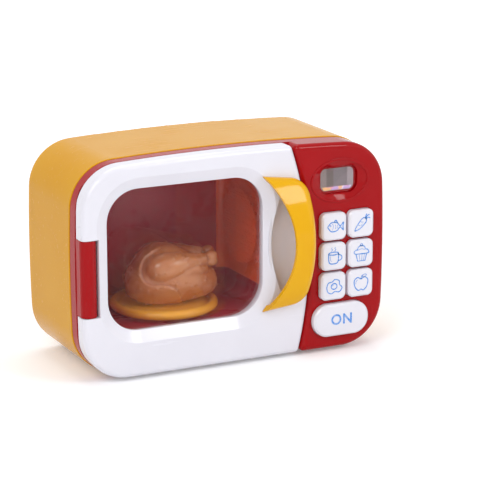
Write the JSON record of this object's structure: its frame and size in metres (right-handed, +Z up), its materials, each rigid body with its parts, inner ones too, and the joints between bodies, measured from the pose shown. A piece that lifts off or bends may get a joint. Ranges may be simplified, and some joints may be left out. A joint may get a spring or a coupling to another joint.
{
  "type": "toy microwave oven",
  "caption": "Toy microwave oven with hinged window door, crescent handle, geared turntable with a roast chicken, display, press keys, start button and rear battery bay.",
  "frame": {"origin": "middle of the toy's footprint, on the surface its feet stand on", "axes": "+X to the right along the front, -Y out of the door side, +Z up"},
  "size_m": [0.254, 0.132, 0.1685],
  "materials": {
    "yellow_shell": "semi-gloss moulded plastic",
    "red_gloss": "high gloss moulded plastic",
    "deep_red": "semi-gloss moulded plastic",
    "orange_panel": "semi-gloss moulded plastic",
    "white_plastic": "gloss moulded plastic",
    "handle_yellow": "gloss moulded plastic",
    "plate_yellow": "semi-gloss moulded plastic",
    "roast_brown": "semi-gloss painted plastic",
    "clear_pane": "clear polystyrene",
    "display_grey": "liquid crystal panel behind film",
    "black_plastic": "fine matte",
    "natural_nylon": "natural nylon",
    "grey_rubber": "matte rubber",
    "zinc_steel": "zinc plated",
    "brass_pinion": "machined",
    "board_green": "solder mask",
    "black_card": "pressed paper",
    "cell_jacket": "printed metal jacket, bare"
  },
  "bodies": {
    "case": {"rear_shell": "yellow_shell", "rubber_feet": "grey_rubber", "housing_screws": "zinc_steel", "front_bezel": "red_gloss", "hinge_pin": "zinc_steel", "cavity_liner": "deep_red", "side_panel": "orange_panel", "speaker_basket": "zinc_steel", "speaker_cone": "black_card", "gearbox_plate": "black_plastic", "idler_pin": "zinc_steel", "gear_motor": "zinc_steel", "catch_clip": "zinc_steel", "keypad_membrane": "grey_rubber", "circuit_board": "board_green", "board_screws": "zinc_steel", "display_lens": "clear_pane", "display_module": "display_grey", "battery_tray": "black_plastic", "battery_cells": "cell_jacket", "battery_contacts": "zinc_steel", "switch_body": "black_plastic", "gearbox_screws": "zinc_steel"},
    "door": {"door_frame": "white_plastic", "door_window": "clear_pane", "door_inner_panel": "white_plastic", "door_handle": "handle_yellow", "handle_screws": "zinc_steel"},
    "table_drive": {"output_gear": "natural_nylon", "drive_hub": "white_plastic"},
    "plate": {"turntable_plate": "plate_yellow"},
    "chicken": {"roast_chicken": "roast_brown"},
    "idler": {"idler_gear": "natural_nylon"},
    "pinion": {"motor_pinion": "brass_pinion", "motor_shaft": "zinc_steel"},
    "battery_door": {"battery_cover": "yellow_shell", "cover_screw": "zinc_steel"},
    "switch_knob": {"switch_slider": "black_plastic"},
    "key_1_cap": {"key_1": "white_plastic"},
    "key_2_cap": {"key_2": "white_plastic"},
    "key_3_cap": {"key_3": "white_plastic"},
    "key_4_cap": {"key_4": "white_plastic"},
    "key_5_cap": {"key_5": "white_plastic"},
    "key_6_cap": {"key_6": "white_plastic"},
    "start_cap": {"start_button": "white_plastic"}
  },
  "joints": [
    {"name": "door_hinge", "type": "hinge", "parent": "case", "child": "door", "pos_m": [-0.1195, -0.0394, 0.0825], "axis": [0, 0, -1], "range_deg": [0, 105]},
    {"name": "turntable_spin", "type": "hinge", "parent": "case", "child": "table_drive", "pos_m": [-0.036, 0.012, 0.03], "axis": [0, 0, 1], "continuous": true},
    {"name": "plate_lift", "type": "slide", "parent": "table_drive", "child": "plate", "axis": [0, 0, 1], "range_m": [0, 0.03]},
    {"name": "chicken_lift", "type": "slide", "parent": "plate", "child": "chicken", "axis": [0, 0, 1], "range_m": [0, 0.03]},
    {"name": "idler_spin", "type": "hinge", "parent": "case", "child": "idler", "pos_m": [-0.016, 0.012, 0.02], "axis": [0, 0, 1], "continuous": true},
    {"name": "motor_spin", "type": "hinge", "parent": "case", "child": "pinion", "pos_m": [0.004, 0.012, 0.02], "axis": [0, 0, 1], "continuous": true},
    {"name": "battery_cover_pull", "type": "slide", "parent": "case", "child": "battery_door", "axis": [0, 1, 0], "range_m": [0, 0.03]},
    {"name": "power_switch_slide", "type": "slide", "parent": "case", "child": "switch_knob", "axis": [1, 0, 0], "range_m": [0, 0.005]},
    {"name": "key_1_press", "type": "slide", "parent": "case", "child": "key_1_cap", "axis": [0, 1, 0], "range_m": [0, 0.002], "stiffness_N_per_m": 200, "springref_m": -0.0008},
    {"name": "key_2_press", "type": "slide", "parent": "case", "child": "key_2_cap", "axis": [0, 1, 0], "range_m": [0, 0.002], "stiffness_N_per_m": 200, "springref_m": -0.0008},
    {"name": "key_3_press", "type": "slide", "parent": "case", "child": "key_3_cap", "axis": [0, 1, 0], "range_m": [0, 0.002], "stiffness_N_per_m": 200, "springref_m": -0.0008},
    {"name": "key_4_press", "type": "slide", "parent": "case", "child": "key_4_cap", "axis": [0, 1, 0], "range_m": [0, 0.002], "stiffness_N_per_m": 200, "springref_m": -0.0008},
    {"name": "key_5_press", "type": "slide", "parent": "case", "child": "key_5_cap", "axis": [0, 1, 0], "range_m": [0, 0.002], "stiffness_N_per_m": 200, "springref_m": -0.0008},
    {"name": "key_6_press", "type": "slide", "parent": "case", "child": "key_6_cap", "axis": [0, 1, 0], "range_m": [0, 0.002], "stiffness_N_per_m": 200, "springref_m": -0.0008},
    {"name": "start_press", "type": "slide", "parent": "case", "child": "start_cap", "axis": [0, 1, 0], "range_m": [0, 0.002], "stiffness_N_per_m": 300, "springref_m": -0.0008}
  ],
  "couplings": [
    {"joint": "idler_spin", "follows": "turntable_spin", "ratio": -4},
    {"joint": "motor_spin", "follows": "turntable_spin", "ratio": 16}
  ]
}
